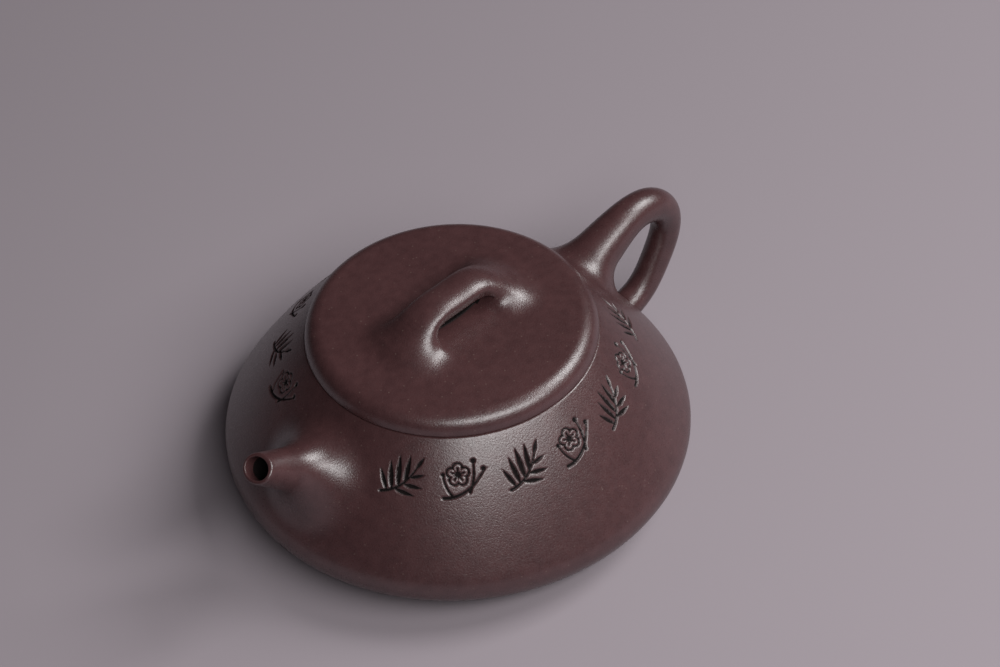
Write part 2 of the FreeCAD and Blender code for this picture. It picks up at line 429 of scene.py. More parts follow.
class LidOutline:
    """The lid's dome and edge in radius and height."""

    def __init__(self, lid):
        self.lid = lid
        self.edge_mid = np.array([LID_R - lid.edge_round, MOUTH_Z + lid.edge_rise])
        flat = self.edge_mid[0] / math.sin(lid.dome_turn)
        self.dome_r = flat + lid.edge_round
        self.dome_mid = np.array([0.0, self.edge_mid[1] - flat * math.cos(lid.dome_turn)])
        self.top = self.dome_mid[1] + self.dome_r

    def onto(self, points):
        """Nearest points on the dome, and the outward directions there."""
        middle = AXIS + [0, 0, self.dome_mid[1]]
        normals = unit(points - middle)
        return middle + normals * self.dome_r, normals


# Meshes

CREASE = math.radians(40)           # edges that turn more than this stay sharp
CARVED_CREASE = math.radians(65)    # the same on the carved wall


def new_piece(name, corners, faces, crease=CREASE):
    """Smooth mesh with its faces outwards."""
    mesh = bpy.data.meshes.new(name)
    mesh.from_pydata(np.asarray(corners).tolist(), [], faces)
    work = bmesh.new()
    work.from_mesh(mesh)
    bmesh.ops.recalc_face_normals(work, faces=work.faces)
    work.to_mesh(mesh)
    work.free()
    mesh.shade_smooth()
    mesh.set_sharp_from_angle(angle=crease)
    piece = bpy.data.objects.new(name, mesh)
    bpy.context.scene.collection.objects.link(piece)
    return piece


def between(first, second):
    """Faces between two rows of corner numbers that go round together."""
    return np.stack((first, np.roll(first, -1), np.roll(second, -1), second), axis=-1).tolist()


def zipped(first, first_turns, second, second_turns):
    """Faces between two rows of corner numbers that go round in different steps."""
    first, second = list(first) + [first[0]], list(second) + [second[0]]
    first_turns = list(first_turns) + [first_turns[0] + math.tau, math.inf]
    second_turns = list(second_turns) + [second_turns[0] + math.tau, math.inf]
    faces = []
    i = j = 0
    while i + 1 < len(first) or j + 1 < len(second):
        if first_turns[i + 1] <= second_turns[j + 1]:
            faces.append([first[i], first[i + 1], second[j]])
            i += 1
        else:
            faces.append([first[i], second[j + 1], second[j]])
            j += 1
    return faces


def skin(name, rings, loop=False, tips=(None, None)):
    """Mesh over rings of points. It closes on itself, or with a tip at either end."""
    rings = np.asarray(rings)
    rows, around = rings.shape[:2]
    corners = list(rings.reshape(-1, 3))
    numbers = np.arange(rows * around).reshape(rows, around)
    faces = []
    for first, second in zip(numbers, numbers[1:]):
        faces += between(first, second)
    if loop:
        faces += between(numbers[-1], numbers[0])
    for tip, row in zip(tips, (numbers[0], numbers[-1])):
        if tip is not None:
            faces += [[a, b, len(corners)] for a, b in zip(row, np.roll(row, -1))]
            corners.append(tip)
    return new_piece(name, corners, faces)


def lathe_rings(outline, turns, middle=AXIS):
    """Rings of an outline of radius and height, turned about an upright axis."""
    outline = np.asarray(outline)
    spokes = np.column_stack((np.cos(turns), np.sin(turns), np.zeros(len(turns))))
    lift = np.array([0.0, 0.0, 1.0])
    return middle + outline[:, :1, None] * spokes + outline[:, 1:, None] * lift


def lathe(name, outline, around=180, middle=AXIS, tips=(None, None)):
    """Mesh of an outline turned about an upright axis. Tips are heights on the axis that close its ends."""
    turns = np.linspace(0, math.tau, around, endpoint=False)
    ends = [None if tip is None else middle + [0, 0, tip] for tip in tips]
    return skin(name, lathe_rings(outline, turns, middle), loop=tips == (None, None), tips=ends)


def oval_tube(rows, around):
    """Rings of ovals square to a line in the XZ plane. Rows: x, z, half width and half thickness."""
    along = unit(np.gradient(rows[:, :2], axis=0))
    turns = np.linspace(0, math.tau, around, endpoint=False)[:, None]
    rings = []
    for (x, z, width, thick), (run, rise) in zip(rows, along):
        over = np.array([-rise, 0.0, run])
        oval = np.cos(turns) * width * ACROSS + np.sin(turns) * thick * over
        rings.append(np.array([x, 0.0, z]) + oval)
    return rings


ROOT_STEPS = 30
ROOT_SEARCH = 12        # steps that find where a tube's line meets the surface
HEM = 0.6 * MM          # how far a root runs on past its edge, under the skin
HEM_SINK = 0.012 * MM   # how deep that lies
ROOT_DEPTH = 0.9 * MM   # how deep a root is closed


def root(rings, onto, spread, pull):
    """Rings that carry the open end of a tube onto a surface in a soft flare, and the point that closes it.

    Spread is the reach to the sides, over and under the tube. Pull is how long the flare keeps the
    tube's way and how flat it comes onto the surface."""
    last, before = rings[-1], rings[-2]
    centre = last.mean(axis=0)
    heading = unit(centre - before.mean(axis=0))
    middle = centre
    for _ in range(ROOT_SEARCH):
        place, normal = onto(middle[None])
        middle = middle + heading * ((place[0] - middle) @ normal[0]) / (heading @ normal[0])
    turns = np.linspace(0, math.tau, len(last), endpoint=False)[:, None]
    over = last[len(last) // 4] - centre
    over = unit(over - normal[0] * (over @ normal[0]))
    sides, above, below = spread
    tall = np.where(np.sin(turns) > 0, above, below)
    foot, normals = onto(middle + np.cos(turns) * sides * ACROSS + np.sin(turns) * tall * over)
    away = foot - middle
    away = unit(away - normals * np.sum(away * normals, axis=1, keepdims=True))
    gap = np.linalg.norm(foot - last, axis=1, keepdims=True)
    leave = unit(last - before) * gap * pull[0]
    arrive = away * gap * pull[1]
    made = []
    for t in np.linspace(0, 1, ROOT_STEPS + 1)[1:]:
        made.append(last + (foot - last) * eased(t) + leave * t * (1 - t) ** 2 - arrive * t * t * (1 - t))
    made.append(onto(foot + away * HEM)[0] - normals * HEM_SINK)
    made.append(foot - normals * ROOT_DEPTH)
    return made, middle - normal[0] * ROOT_DEPTH


def cut_out(piece, drill, crease):
    """Takes the drill out of a piece and throws the drill away."""
    cut = piece.modifiers.new("cut", "BOOLEAN")
    cut.operation = "DIFFERENCE"
    cut.solver = "EXACT"
    cut.object = drill
    graph = bpy.context.evaluated_depsgraph_get()
    drilled = bpy.data.meshes.new_from_object(piece.evaluated_get(graph))
    piece.modifiers.clear()
    piece.data = drilled
    drilled.set_sharp_from_angle(angle=crease)
    bpy.data.objects.remove(drill)


def settle(piece, node, body, *materials):
    """Gives a piece its finish and lets it stand for a node of the frame."""
    for material in materials:
        piece.data.materials.append(material)
    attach(piece, body)
    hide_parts(node)


# Carving

TWIG_STEPS = 14
LEAF_BULGE = 0.8    # below 1 a leaf is widest nearer its stalk than its tip


def stroke_distance(points, line, start_line, end_line):
    """Distance from points to the edge of a stroke that tapers along a line. It is negative inside."""
    nearest = np.full(len(points), np.inf)
    lines = np.linspace(start_line, end_line, len(line))
    for a, b, line_a, line_b in zip(line, line[1:], lines, lines[1:]):
        run = b - a
        t = np.clip((points - a) @ run / (run @ run), 0, 1)
        edge = np.linalg.norm(points - a - t[:, None] * run, axis=1) - (line_a + (line_b - line_a) * t)
        nearest = np.minimum(nearest, edge)
    return nearest


def twig_distance(points, twigs):
    """Distance from points to the edge of the nearest twig, negative inside it."""
    nearest = np.full(len(points), np.inf)
    for start, middle, end, start_line, end_line in twigs:
        line = softened(np.array(start), np.array(middle), np.array(end), TWIG_STEPS)
        nearest = np.minimum(nearest, stroke_distance(points, line, start_line, end_line))
    return nearest


def blossom_distance(points):
    """Distance in millimetres to the edge of a blossom sprig's cut lines, negative inside them."""
    petals = np.full(len(points), np.inf)
    edge = np.linalg.norm(points - BLOSSOM_AT, axis=1) - HEART_R
    for turn in np.arange(PETALS) * math.tau / PETALS + math.pi / 2:
        way = np.array([math.cos(turn), math.sin(turn)])
        petals = np.minimum(petals, np.linalg.norm(points - BLOSSOM_AT - way * PETAL_OUT, axis=1) - PETAL_R)
        stamen = BLOSSOM_AT + np.outer([STAMEN_FROM, STAMEN_TO], way)
        edge = np.minimum(edge, stroke_distance(points, stamen, STAMEN_LINE, STAMEN_LINE))
    edge = np.minimum(edge, np.abs(petals) - PETAL_LINE)
    outside = twig_distance(points, BLOSSOM_TWIGS)
    for place, size in BUDS:
        outside = np.minimum(outside, np.linalg.norm(points - place, axis=1) - size)
    outside[petals < 2 * PETAL_LINE] = np.inf
    return np.minimum(edge, outside)


def leaf_distance(points):
    """The same for a sprig of leaves."""
    nearest = twig_distance(points, LEAF_TWIGS)
    for stalk, tip, width in LEAVES:
        run = np.subtract(tip, stalk)
        t = (points - stalk) @ run / (run @ run)
        aside = np.linalg.norm(points - stalk - t[:, None] * run, axis=1)
        beyond = np.maximum(np.maximum(-t, t - 1), 0) * np.linalg.norm(run)
        past = aside - width * np.sin(math.pi * np.clip(t, 0, 1) ** LEAF_BULGE)
        nearest = np.minimum(nearest, np.hypot(np.maximum(past, 0), beyond) + np.minimum(past, 0))
    return nearest


CUT_SLOPE = 0.26    # width of a cut's side wall, millimetres
CUT_BOTTOM = 0.3    # share of the depth from which a place counts as the cut's bottom


def carved_share(turns, drops, radii, carving, sprig_turns):
    """How deep each place of the wall is cut, 0 to 1, in rows down the slope and columns round the pot."""
    share = np.zeros((len(drops), len(turns)))
    rows = np.where(np.abs(drops - carving.slope) < carving.reach[1])[0]
    for number, middle in enumerate(sprig_turns):
        half = carving.reach[0] / radii[rows].min()
        columns = np.where(np.abs(turns - middle) < half)[0]
        right = np.outer(radii[rows], turns[columns] - middle) / MM
        up = np.outer(carving.slope - drops[rows], np.ones(len(columns))) / MM
        places = np.column_stack((right.ravel(), up.ravel()))
        distance = leaf_distance(places) if number % 2 else blossom_distance(places)
        cut = eased(np.clip(0.5 - distance / CUT_SLOPE, 0, 1))
        share[np.ix_(rows, columns)] = cut.reshape(len(rows), len(columns))
    return share


# Finish

# The third finish is the dark bottom of cut lines, and also painted shade under the knob and in the spout's
# bore
BURNISHED, RAW, CUT_AND_SHADE = range(3)   # order of the finishes on a piece
GRAIN_FINENESS = 2400.0
PLAIN_SAND = 0.93                   # share of the sand that shows no speck
CUT_DULL = 0.35                     # how much rougher a cut is than the rubbed clay round it
MIX_COLOURS, MIX_RESULT = (6, 7), 2     # colour sockets of a mix node


def finishes():
    """The three clays, as TEAPOT_OT_clay mixed them."""
    return [bpy.data.materials[name] for name in ("burnished_clay", "raw_clay", "cut_and_shade_clay")]


def add_node(tree, kind, **values):
    """A shader node with values on itself or on its inputs, by name or number.

    A socket as a value is linked."""
    made = tree.nodes.new(kind)
    for name, value in values.items():
        if hasattr(made, name):
            setattr(made, name, value)
            continue
        key = int(name[1:]) if name[0] == "_" else name.replace("_", " ")
        if isinstance(value, bpy.types.NodeSocket):
            tree.links.new(value, made.inputs[key])
        else:
            made.inputs[key].default_value = value
    return made


def shade(colour):
    """A colour as a shader takes it."""
    return (*colour, 1.0)


def clay_grain():
    """Fine sandy grain: its height, light specks, and a slow change of tone."""
    tree = bpy.data.node_groups.new("clay_grain", "ShaderNodeTree")
    face = tree.interface
    face.new_socket("Place", in_out="INPUT", socket_type="NodeSocketVector")
    fineness = face.new_socket("Fineness", in_out="INPUT", socket_type="NodeSocketFloat")
    fineness.default_value = GRAIN_FINENESS
    for name in ("Height", "Specks", "Tone"):
        face.new_socket(name, in_out="OUTPUT", socket_type="NodeSocketFloat")
    inputs = tree.nodes.new("NodeGroupInput").outputs
    outputs = tree.nodes.new("NodeGroupOutput").inputs
    place = inputs["Place"]
    fine = add_node(
        tree, "ShaderNodeTexNoise", Vector=place, Scale=inputs["Fineness"], Detail=2.0, Roughness=0.65)
    sand = add_node(tree, "ShaderNodeTexVoronoi", Vector=place, Scale=1300.0)
    spot = add_node(
        tree, "ShaderNodeMapRange", Value=sand.outputs["Distance"],
        From_Min=0.15, From_Max=0.28, To_Min=1.0, To_Max=0.0)
    pick = add_node(tree, "ShaderNodeSeparateColor", Color=sand.outputs["Color"])
    few = add_node(
        tree, "ShaderNodeMath", operation="GREATER_THAN", _0=pick.outputs["Red"], _1=PLAIN_SAND)
    specks = add_node(
        tree, "ShaderNodeMath", operation="MULTIPLY", _0=spot.outputs["Result"], _1=few.outputs[0])
    slow = add_node(tree, "ShaderNodeTexNoise", Vector=place, Scale=42.0, Detail=4.0, Roughness=0.6)
    mottle = add_node(tree, "ShaderNodeTexNoise", Vector=place, Scale=420.0, Detail=2.0)
    tone = add_node(
        tree, "ShaderNodeMath", operation="ADD", _0=slow.outputs["Fac"], _1=mottle.outputs["Fac"])
    level = add_node(
        tree, "ShaderNodeMapRange", Value=tone.outputs[0], From_Min=0.75, From_Max=1.25)
    tree.links.new(fine.outputs["Fac"], outputs["Height"])
    tree.links.new(specks.outputs[0], outputs["Specks"])
    tree.links.new(level.outputs["Result"], outputs["Tone"])


def new_material(name):
    """A material and its shader."""
    material = bpy.data.materials.new(name)
    material.use_nodes = True
    return material, material.node_tree.nodes["Principled BSDF"]


def mixed(tree, share, first, second):
    """Colour between two others. Each is a colour or a socket."""
    made = add_node(tree, "ShaderNodeMix", data_type="RGBA", _0=share)
    for number, value in zip(MIX_COLOURS, (first, second)):
        if isinstance(value, bpy.types.NodeSocket):
            tree.links.new(value, made.inputs[number])
        else:
            made.inputs[number].default_value = shade(value)
    return made.outputs[MIX_RESULT]


class Clay:
    """A clay material with the grain on it.

    Roughness is that of the grain's low and high places, and bump is the grain's strength and height."""

    def __init__(self, name, roughness, bump, fineness=GRAIN_FINENESS):
        material, self.shader = new_material(name)
        self.tree = material.node_tree
        place = add_node(self.tree, "ShaderNodeTexCoord")
        self.grain = add_node(
            self.tree, "ShaderNodeGroup", node_tree=bpy.data.node_groups["clay_grain"],
            Place=place.outputs["Object"], Fineness=fineness).outputs
        self.rough = add_node(
            self.tree, "ShaderNodeMapRange", Value=self.grain["Height"],
            From_Min=0.3, From_Max=0.7, To_Min=roughness[0], To_Max=roughness[1]).outputs["Result"]
        raised = add_node(
            self.tree, "ShaderNodeBump", Strength=bump[0], Distance=bump[1], Height=self.grain["Height"])
        self.feed("Roughness", self.rough)
        self.feed("Normal", raised.outputs["Normal"])

    def feed(self, name, socket):
        """Links a socket to the shader."""
        self.tree.links.new(socket, self.shader.inputs[name])

    def toned(self, first, second):
        """Slow change between two colours."""
        return mixed(self.tree, self.grain["Tone"], first, second)

    def specked(self, colour, speck, share):
        """A colour with a share of the sandy specks."""
        some = add_node(
            self.tree, "ShaderNodeMath", operation="MULTIPLY", _0=self.grain["Specks"], _1=share)
        return mixed(self.tree, some.outputs[0], colour, speck)


def burnished_clay(colours):
    """Rubbed outside of the pot. Towards carved places and the painted shade under the knob's bridge, which
    the mesh marks, it is dark and dull.
    """
    clay = Clay("burnished_clay", roughness=(0.25, 0.37), bump=(0.55, 0.1 * MM))
    sandy = clay.specked(clay.toned(colours.dark, colours.light), colours.speck, share=0.55)
    cut = add_node(clay.tree, "ShaderNodeAttribute", attribute_name="cut_and_shade").outputs["Fac"]
    dull = add_node(clay.tree, "ShaderNodeMath", operation="MULTIPLY", _0=cut, _1=CUT_DULL)
    rough = add_node(clay.tree, "ShaderNodeMath", operation="ADD", _0=clay.rough, _1=dull.outputs[0])
    clay.shader.inputs["Specular IOR Level"].default_value = 0.95
    # Marked places go dark: cut lines on the wall, painted shade under the knob on the lid
    clay.feed("Base Color", mixed(clay.tree, cut, sandy, colours.cut_and_shade))
    clay.feed("Roughness", rough.outputs[0])


def raw_clay(colours):
    """Inside of the pot and underside of the lid, not rubbed."""
    clay = Clay("raw_clay", roughness=(0.62, 0.78), bump=(0.5, 0.12 * MM), fineness=1500.0)
    sandy = clay.specked(clay.toned(colours.light, colours.raw), colours.speck, share=0.7)
    clay.feed("Base Color", sandy)


def cut_and_shade_clay(colours):
    """Bottom of the cut lines, and painted shade: the slot under the knob and the deep part of the spout's
    bore, dark and dull.
    """
    clay = Clay("cut_and_shade_clay", roughness=(0.75, 0.9), bump=(0.6, 0.1 * MM))
    clay.shader.inputs["Specular IOR Level"].default_value = 0.12
    clay.feed("Base Color", clay.toned(colours.cut_and_shade, colours.cut_and_shade_edge))


# Pieces

class TEAPOT_OT_clay(bpy.types.Operator):
    """Mixes the clay: its grain and its three finishes"""
    bl_idname = "teapot.clay"
    bl_label = "Clay"

    def execute(self, context):
        clay_grain()
        for finish in (burnished_clay, raw_clay, cut_and_shade_clay):
            finish(context.scene.teapot_clay)
        return {"FINISHED"}


LEVEL = 0.5     # a face that points further up or down than this is an upper side or an underside


def mark_cut_and_shade(piece, marks):
    """Tells the burnished clay how far each corner of a piece lies in a cut or in painted shade, 0 to 1."""
    cut_and_shade = piece.data.attributes.new("cut_and_shade", "FLOAT", "POINT")
    cut_and_shade.data.foreach_set("value", marks)


class TEAPOT_OT_wall(bpy.types.Operator):
    """Builds the wall of the pot with its carved sprigs and the hole behind the spout"""
    bl_idname = "teapot.wall"
    bl_label = "Wall"

    INNER_AROUND = 180
    PLAIN_STEP = 0.8 * MM               # mesh step round the pot and above the carving
    SHOULDER_STEP = 2 * MM              # below the carving
    ROUND_STEP = 1.5 * MM               # along the belly and the base
    INNER_STEPS = 1.2 * MM, 0.8 * MM    # inside, along the shoulder and the rounds

    def execute(self, context):
        scene = context.scene
        pot, carving = scene.teapot_pot, scene.teapot_carving
        outline = WallOutline(pot)
        top_turn = outline.shoulder_turn_at(MOUTH_Z)
        length = outline.shoulder_r * (top_turn - pot.shoulder_turn)
        band = carving.reach[1]
        drops = graded(
            (2 * pot.edge, self.PLAIN_STEP), (carving.slope - band, carving.fine),
            (carving.slope + band, self.SHOULDER_STEP), (length, 0.0))
        slopes = top_turn - drops / outline.shoulder_r
        outward = np.column_stack((np.cos(slopes), np.sin(slopes)))
        shoulder = outline.shoulder_mid + outline.shoulder_r * outward
        side = np.linspace(carving.first, carving.last, carving.sprigs)
        sprig_turns = np.sort(np.concatenate((math.pi - side, math.pi + side)))
        middle_r = np.interp(carving.slope, drops, shoulder[:, 0])
        half = carving.reach[0] / middle_r
        fine, plain = carving.fine / middle_r, self.PLAIN_STEP / middle_r
        stops = [(0.0, plain)]
        for turn in sprig_turns:
            stops += [(turn - half, fine), (turn + half, plain)]
        turns = graded(*stops, (math.tau, 0.0))[:-1]

        share = carved_share(turns, drops, shoulder[:, 0], carving, sprig_turns)
        edge_place = np.array([pot.mouth_radius, MOUTH_Z])
        edge = softened(edge_place - [2 * pot.edge, 0], edge_place, shoulder[0])
        lower = outline.lower_rounds(0.0, self.ROUND_STEP)[::-1]
        rings = lathe_rings(np.vstack((edge[:-1], shoulder, lower[1:])), turns)
        inward = -outward * carving.depth
        spokes = np.column_stack((np.cos(turns), np.sin(turns)))
        first = len(edge) - 1
        cut = rings[first:first + len(drops)]
        cut[..., :2] += share[..., None] * inward[:, None, :1] * spokes
        cut[..., 2] += share * inward[:, 1:]

        inner_turns = np.linspace(0, math.tau, self.INNER_AROUND, endpoint=False)
        low_turn = outline.shoulder_turn_at(MOUTH_Z, pot.wall)
        inner_r = outline.shoulder_r - pot.wall
        shoulder_step, round_step = self.INNER_STEPS
        inner = np.vstack((
            bow(outline.shoulder_mid, inner_r, low_turn, pot.shoulder_turn, shoulder_step),
            outline.lower_rounds(pot.wall, round_step)[-2::-1],
        ))
        inner = inner[inner[:, 1] > BASE_HIGH.z]
        inner = np.vstack((inner, [outline.base_mid[0], BASE_HIGH.z]))
        inner_rings = lathe_rings(inner, inner_turns)

        corners = np.vstack((rings.reshape(-1, 3), inner_rings.reshape(-1, 3)))
        numbers = np.arange(rings.shape[0] * len(turns)).reshape(rings.shape[:2])
        inner_numbers = np.arange(numbers.size, len(corners)).reshape(inner_rings.shape[:2])
        faces = []
        for grid in (numbers, inner_numbers):
            for row, after in zip(grid, grid[1:]):
                faces += between(row, after)
        faces += zipped(numbers[0], turns, inner_numbers[0], inner_turns)
        faces += zipped(numbers[-1], turns, inner_numbers[-1], inner_turns)
        piece = new_piece("wall_clay", corners, faces, CARVED_CREASE)

        marks = np.zeros(len(corners))
        marks[first * len(turns):(first + len(drops)) * len(turns)] = share.ravel()
        mark_cut_and_shade(piece, marks)
        inside = np.array([face[0] >= numbers.size for face in faces])
        finish = np.where(inside, RAW, BURNISHED)
        finish[[min(marks[face]) > CUT_BOTTOM for face in faces]] = CUT_AND_SHADE
        piece.data.polygons.foreach_set("material_index", finish.astype(np.int32))
        settle(piece, "body_wall", "pot", *finishes())
        bore_through(piece, scene.teapot_spout)
        return {"FINISHED"}


def spout_line(spout):
    """Middle of the outlet, the way out of it, and the way square to that and up."""
    outlet = AXIS + [-spout.reach, 0, MOUTH_Z - spout.drop]
    out = np.array([-math.cos(spout.rise), 0.0, math.sin(spout.rise)])
    return outlet, out, np.cross(ACROSS, out)


PORT_START, PORT_END = 15 * MM, 30 * MM     # the drill, from the outlet inwards
PORT_AROUND = 64


def bore_through(piece, spout):
    """Drills the hole behind the spout."""
    outlet, out, up = spout_line(spout)
    turns = np.linspace(0, math.tau, PORT_AROUND, endpoint=False)[:, None]
    ring = spout.port * (np.cos(turns) * ACROSS + np.sin(turns) * up)
    ends = [outlet - out * depth for depth in (PORT_START, PORT_END)]
    drill = skin("drill", [end + ring for end in ends], tips=ends)
    cut_out(piece, drill, CARVED_CREASE)


class TEAPOT_OT_base(bpy.types.Operator):
    """Builds the disc that closes the pot from below, and its feet"""
    bl_idname = "teapot.base"
    bl_label = "Base and Feet"

    RINGS, FIRST_RING = 30, 1.5 * MM
    FOOT_FLAT, FOOT_EDGE, FOOT_FLARE, FOOT_SINK = 2.4 * MM, 0.8 * MM, 2.2 * MM, 0.3 * MM
    FOOT_AROUND = 72
    FOOT_STEPS = 0.12 * MM, 0.15 * MM   # mesh steps along a foot's edge and flare

    def execute(self, context):
        burnished, raw, _ = finishes()
        radius = WallOutline(context.scene.teapot_pot).base_mid[0]
        rings = np.linspace(self.FIRST_RING, radius, self.RINGS)
        under = np.column_stack((rings, np.full(self.RINGS, BASE_LOW.z)))
        over = np.column_stack((rings[::-1], np.full(self.RINGS, BASE_HIGH.z)))
        base = lathe("base_clay", np.vstack((under, over)), tips=(BASE_LOW.z, BASE_HIGH.z))
        settle(base, "base_disc", "pot", burnished, raw)
        for face in base.data.polygons:
            face.material_index = RAW if face.normal.z > LEVEL else BURNISHED
        for node in FOOT_NODES:
            low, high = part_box(node)
            middle = np.array([(low.x + high.x) / 2, (low.y + high.y) / 2, low.z])
            height = high.z - low.z
            foot = lathe(
                node + "_clay", self.foot_outline(height), around=self.FOOT_AROUND, middle=middle,
                tips=(0.0, height + self.FOOT_SINK))
            settle(foot, node, "pot", burnished)
        return {"FINISHED"}

    def foot_outline(self, height):
        """Flat underside, rounded edge, flare onto the base and a buried end."""
        edge_step, flare_step = self.FOOT_STEPS
        edge_mid = np.array([self.FOOT_FLAT, self.FOOT_EDGE])
        flare_mid = np.array([self.FOOT_FLAT + self.FOOT_EDGE + self.FOOT_FLARE, height - self.FOOT_FLARE])
        edge = bow(edge_mid, self.FOOT_EDGE, -math.pi / 2, 0, edge_step)
        flare = bow(flare_mid, self.FOOT_FLARE, math.pi, math.pi / 2, flare_step)
        return np.vstack(([[self.FOOT_FLAT / 2, 0.0]], edge, flare, flare[-1:] + [0, self.FOOT_SINK]))


class TEAPOT_OT_mouth_ring(bpy.types.Operator):
    """Builds the ring in the mouth that seats the lid"""
    bl_idname = "teapot.mouth_ring"
    bl_label = "Mouth Ring"

    def execute(self, context):
        pot = context.scene.teapot_pot
        outline = WallOutline(pot)
        inner_r = outline.shoulder_r - pot.wall
        reach = []
        for height in (RING_LOW.z, MOUTH_Z):
            turn = outline.shoulder_turn_at(height, pot.wall)
            reach.append(outline.shoulder_mid[0] + inner_r * math.cos(turn))
        hole = ring_hole()
        corners = [
            (hole, RING_LOW.z, pot.edge),
            (reach[0], RING_LOW.z, 0),
            (reach[1], MOUTH_Z, 0),
            (hole, MOUTH_Z, pot.edge),
        ]
        ring = lathe("mouth_ring_clay", rounded(corners))
        settle(ring, "mouth_ring", "pot", finishes()[RAW])
        return {"FINISHED"}


def ring_hole():
    """Radius of the hole in the mouth ring, read from the frame."""
    places = np.array([corner.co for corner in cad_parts["mouth_ring"].data.vertices])
    return np.linalg.norm((places - AXIS)[:, :2], axis=1).min()


class TEAPOT_OT_spout(bpy.types.Operator):
    """Builds the spout with its bore and soft root, and finishes the strainer behind it"""
    bl_idname = "teapot.spout"
    bl_label = "Spout and Strainer"

    AROUND = 112
    BORE_ROWS, LIP_ROWS, NECK_ROWS = 14, 10, 12
    BORE_END = 21.45 * MM   # inner end of the bore, from the outlet
    BORE_FLARE = math.radians(20)
    # The deep bore is painted dark as shade
    BORE_SHADE = 2.2 * MM    # depth from which the bore is left dark
    PULL = (1.0, 1.15)

    def execute(self, context):
        scene = context.scene
        spout = scene.teapot_spout
        outlet, out, up = spout_line(spout)
        turns = np.linspace(0, math.tau, self.AROUND, endpoint=False)[:, None]
        outline = self.outline(spout)
        rings = []
        for wide, tall, depth in outline:
            lean = math.tan(spout.lean) * max(0.0, 1 - depth / spout.neck_length)
            ring = np.cos(turns) * wide * ACROSS + np.sin(turns) * tall * (up - out * lean)
            rings.append(outlet - out * depth + ring)
        rings += root(rings, WallOutline(scene.teapot_pot).onto, spout.spread, self.PULL)[0]
        piece = skin("spout_clay", rings, loop=True)
        settle(piece, "spout", "pot", *finishes())
        # Paints shade: the bore's deep faces take the dark clay
        dark = np.argmax(outline[:, 2] < self.BORE_SHADE) - 1
        for face in piece.data.polygons[:dark * self.AROUND]:
            face.material_index = CUT_AND_SHADE
        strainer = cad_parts["spout_strainer"]
        strainer.data.materials.clear()
        strainer.data.materials.append(finishes()[RAW])
        return {"FINISHED"}

    def outline(self, spout):
        """Half width, half height and depth of the rings, out of the bore and back along the neck."""
        end_r = spout.bore + (self.BORE_END - spout.bore_length) * math.tan(self.BORE_FLARE)
        rim, hole = np.array([*spout.tip, 0]), np.array([*spout.opening, 0])
        outer, inner = spout.lip
        deep, across = np.array([0, 0, 1]), np.array([1, 1, 0])
        bore_start = np.array([spout.bore, spout.bore, spout.bore_length])
        bore_mid = np.array([spout.bore, spout.bore, spout.bore_length / 2])
        waist = np.array([spout.waist, spout.waist, spout.neck_length / 2])
        neck = np.array([spout.neck, spout.neck, spout.neck_length])
        return np.vstack((
            np.linspace((end_r, end_r, self.BORE_END), bore_start, self.BORE_ROWS),
            softened(bore_start, bore_mid, hole + deep * inner, self.BORE_ROWS)[1:],
            softened(hole + deep * inner, hole, hole + across * inner)[1:],
            softened(rim - across * outer, rim, rim + deep * outer, self.LIP_ROWS),
            softened(rim + deep * outer, waist, neck, self.NECK_ROWS)[1:],
        ))


class TEAPOT_OT_handle(bpy.types.Operator):
    """Builds the ear-shaped handle with its two soft roots"""
    bl_idname = "teapot.handle"
    bl_label = "Handle"

    AROUND, ALONG = 88, 110
    UPPER_PULL, LOWER_PULL = (1.2, 1.1), (1.1, 1.1)

    def execute(self, context):
        sizes = context.scene.teapot_handle
        rows = smooth_rows(np.array(HANDLE_ROWS) * MM, self.ALONG)
        line = rows[:, :2] + [AXIS[0], MOUTH_Z]
        thick = rows[:, 2]
        rings = oval_tube(np.column_stack((line, thick * sizes.oval, thick)), self.AROUND)
        onto = WallOutline(context.scene.teapot_pot).onto
        upper, upper_tip = root(rings[::-1], onto, sizes.upper_spread, self.UPPER_PULL)
        lower, lower_tip = root(rings, onto, sizes.lower_spread, self.LOWER_PULL)
        piece = skin("handle_clay", upper[::-1] + rings + lower, tips=(upper_tip, lower_tip))
        settle(piece, "handle", "pot", finishes()[BURNISHED])
        return {"FINISHED"}


